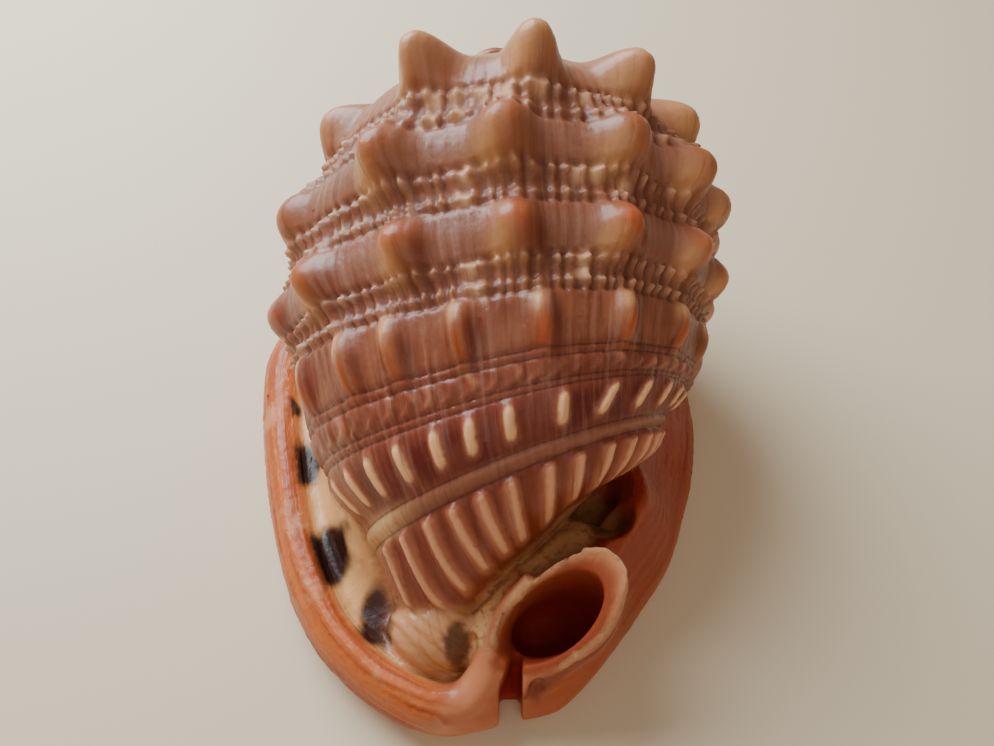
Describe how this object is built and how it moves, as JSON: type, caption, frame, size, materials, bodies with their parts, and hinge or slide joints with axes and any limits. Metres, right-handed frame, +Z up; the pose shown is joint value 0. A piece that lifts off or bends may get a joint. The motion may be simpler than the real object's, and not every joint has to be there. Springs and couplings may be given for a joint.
{
  "type": "helmet shell",
  "caption": "Empty helmet shell lying on its aperture: knobbed body whorl, low spire, rolled outer lip, parietal shield and upturned siphonal canal.",
  "frame": {"origin": "centre of the bounding box in plan, on the plane the shell rests on", "axes": "+Z up through the knobbed back, +Y towards the spire, -Y towards the siphonal canal, -X the outer lip's side, +X the parietal shield's side"},
  "size_m": [0.1092, 0.1376, 0.0878],
  "materials": {
    "shell": "naturally glossy shell, mauve-brown with orange knobs and lip"
  },
  "bodies": {
    "root": {"shell": "shell"}
  },
  "joints": []
}
